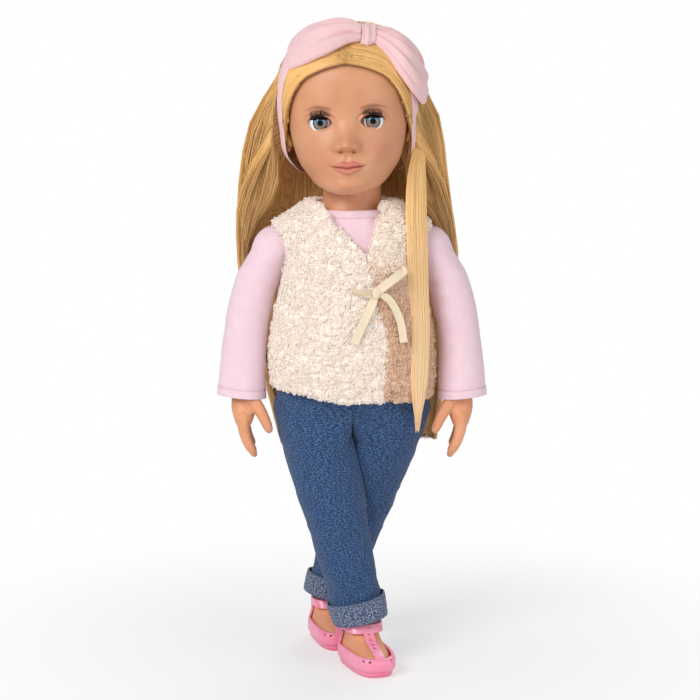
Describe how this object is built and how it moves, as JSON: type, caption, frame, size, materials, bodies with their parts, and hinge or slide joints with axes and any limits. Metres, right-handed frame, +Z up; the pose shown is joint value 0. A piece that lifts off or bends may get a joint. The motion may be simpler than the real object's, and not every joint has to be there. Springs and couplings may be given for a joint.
{
  "type": "vinyl play doll",
  "caption": "Dressed vinyl play doll with sleep eyes, long hair, headband with bow, pile vest, jersey shirt, turned-up jeans and T-strap shoes, standing with crossed legs.",
  "frame": {"origin": "middle of the doll's footprint box, on the ground under the soles", "axes": "+Z up from the soles to the bow, -Y the way the doll faces, +X to the doll's own left"},
  "size_m": [0.1944, 0.1414, 0.4652],
  "materials": {
    "skin_vinyl": "satin soft vinyl",
    "hard_plastic": "moulded",
    "eye_gloss": "glossy with printed iris",
    "lash": "fine bristles",
    "weight_steel": "raw",
    "hair": "glossy fibre",
    "headband_cloth": "soft knit",
    "jersey": "fine knit",
    "muslin": "woven",
    "pile": "curly pile",
    "ribbon": "satin",
    "denim": "twill",
    "denim_inside": "twill",
    "shoe_vinyl": "glossy"
  },
  "bodies": {
    "torso": {"torso": "muslin", "shirt_body": "jersey", "vest_back": "pile", "vest_front_left": "pile", "vest_front_right": "pile", "vest_ribbon": "ribbon", "jeans_hips": "denim"},
    "head": {"head_shell": "skin_vinyl", "neck_flange": "hard_plastic", "hair_cap": "hair", "hair_back": "hair", "hair_front_lock": "hair", "headband": "headband_cloth", "bow_loop_left": "headband_cloth", "bow_loop_right": "headband_cloth", "bow_knot": "headband_cloth", "eye_cup_left": "hard_plastic", "eye_cup_right": "hard_plastic"},
    "eye_left": {"eyeball_left": "eye_gloss", "eyelash_left": "lash", "eye_weight_left": "weight_steel"},
    "arm_left": {"arm_left": "skin_vinyl", "shoulder_disc_left": "hard_plastic", "sleeve_left": "jersey"},
    "hip_left": {"hip_swivel_left": "hard_plastic"},
    "leg_left": {"leg_left": "skin_vinyl", "jeans_leg_left": "denim", "jeans_cuff_left": "denim_inside", "shoe_left": "shoe_vinyl"},
    "eye_right": {"eyeball_right": "eye_gloss", "eyelash_right": "lash", "eye_weight_right": "weight_steel"},
    "arm_right": {"arm_right": "skin_vinyl", "shoulder_disc_right": "hard_plastic", "sleeve_right": "jersey"},
    "hip_right": {"hip_swivel_right": "hard_plastic"},
    "leg_right": {"leg_right": "skin_vinyl", "jeans_leg_right": "denim", "jeans_cuff_right": "denim_inside", "shoe_right": "shoe_vinyl"}
  },
  "joints": [
    {"name": "neck_turn", "type": "hinge", "parent": "torso", "child": "head", "pos_m": [0, 0.00901, 0.322], "axis": [0, 0, 1], "range_deg": [-60, 60], "deforming": ["hair_back", "hair_front_lock"]},
    {"name": "shoulder_left", "type": "hinge", "parent": "torso", "child": "arm_left", "pos_m": [0.054, 0.00601, 0.298], "axis": [-1, 0, 0], "range_deg": [-30, 95], "deforming": ["hair_back", "hair_front_lock"]},
    {"name": "shoulder_right", "type": "hinge", "parent": "torso", "child": "arm_right", "pos_m": [-0.054, 0.00601, 0.298], "axis": [-1, 0, 0], "range_deg": [-30, 95], "deforming": ["hair_back", "hair_front_lock"]},
    {"name": "hip_swing_right", "type": "hinge", "parent": "torso", "child": "hip_right", "pos_m": [-0.03, 0.00601, 0.18], "axis": [-1, 0, 0], "range_deg": [0, 75], "deforming": ["jeans_hips", "vest_front_left", "vest_front_right", "vest_ribbon", "hair_back", "hair_front_lock"]},
    {"name": "hip_swing_left", "type": "hinge", "parent": "torso", "child": "hip_left", "pos_m": [0.03, 0.00601, 0.18], "axis": [-1, 0, 0], "range_deg": [0, 75], "deforming": ["jeans_hips", "vest_front_left", "vest_front_right", "vest_ribbon", "hair_back", "hair_front_lock"]},
    {"name": "hip_spread_left", "type": "hinge", "parent": "hip_left", "child": "leg_left", "pos_m": [0.03, 0.00601, 0.18], "axis": [0, -1, 0], "range_deg": [0, 28], "deforming": ["jeans_hips", "vest_front_left", "vest_front_right", "vest_ribbon", "hair_back", "hair_front_lock"]},
    {"name": "hip_spread_right", "type": "hinge", "parent": "hip_right", "child": "leg_right", "pos_m": [-0.03, 0.00601, 0.18], "axis": [0, 1, 0], "range_deg": [0, 28], "deforming": ["jeans_hips", "vest_front_left", "vest_front_right", "vest_ribbon", "hair_back", "hair_front_lock"]},
    {"name": "eye_close_left", "type": "hinge", "parent": "head", "child": "eye_left", "pos_m": [0.01455, -0.02682, 0.39016], "axis": [0.9987, -0.0349, 0.0384], "range_deg": [0, 36]},
    {"name": "eye_close_right", "type": "hinge", "parent": "head", "child": "eye_right", "pos_m": [-0.0222, -0.02554, 0.38874], "axis": [0.9987, -0.0349, 0.0384], "range_deg": [0, 36]}
  ],
  "couplings": [
    {"joint": "hip_swing_left", "follows": "hip_swing_right", "ratio": 1}
  ]
}
